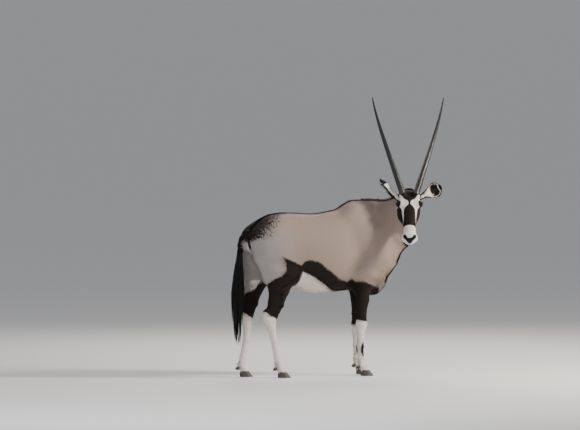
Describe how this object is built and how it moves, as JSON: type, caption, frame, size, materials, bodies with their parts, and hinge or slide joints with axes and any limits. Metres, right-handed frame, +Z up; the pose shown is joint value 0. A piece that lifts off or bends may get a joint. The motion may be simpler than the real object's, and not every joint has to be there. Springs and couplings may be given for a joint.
{
  "type": "gemsbok",
  "caption": "Life-size gemsbok standing side-on and looking back over its right shoulder, with long straight ringed horns, a black and white face, a dark flank band and a long black tail.",
  "frame": {"origin": "on the floor, under the middle of the model's box", "axes": "+X forward along the trunk, +Y to the animal's left, +Z up"},
  "size_m": [1.6538, 0.7694, 1.9045],
  "materials": {
    "coat": "short fawn-grey hair",
    "dark_hair": "short and long black-brown hair",
    "white_hair": "short white hair",
    "horn": "dull ringed horn, smooth towards the tip",
    "hoof": "dull dark horn",
    "eye": "wet gloss"
  },
  "bodies": {
    "root": {"torso": "coat", "neck": "coat", "head": "dark_hair", "tail_dock": "dark_hair", "tail_tuft": "dark_hair", "horn_right": "horn", "ear_right": "white_hair", "eye_right": "eye", "forearm_right": "dark_hair", "fore_shank_right": "white_hair", "fore_hoof_right": "hoof", "gaskin_right": "dark_hair", "hind_shank_right": "white_hair", "hind_hoof_right": "hoof", "horn_left": "horn", "ear_left": "white_hair", "eye_left": "eye", "forearm_left": "dark_hair", "fore_shank_left": "white_hair", "fore_hoof_left": "hoof", "gaskin_left": "dark_hair", "hind_shank_left": "white_hair", "hind_hoof_left": "hoof"}
  },
  "joints": []
}
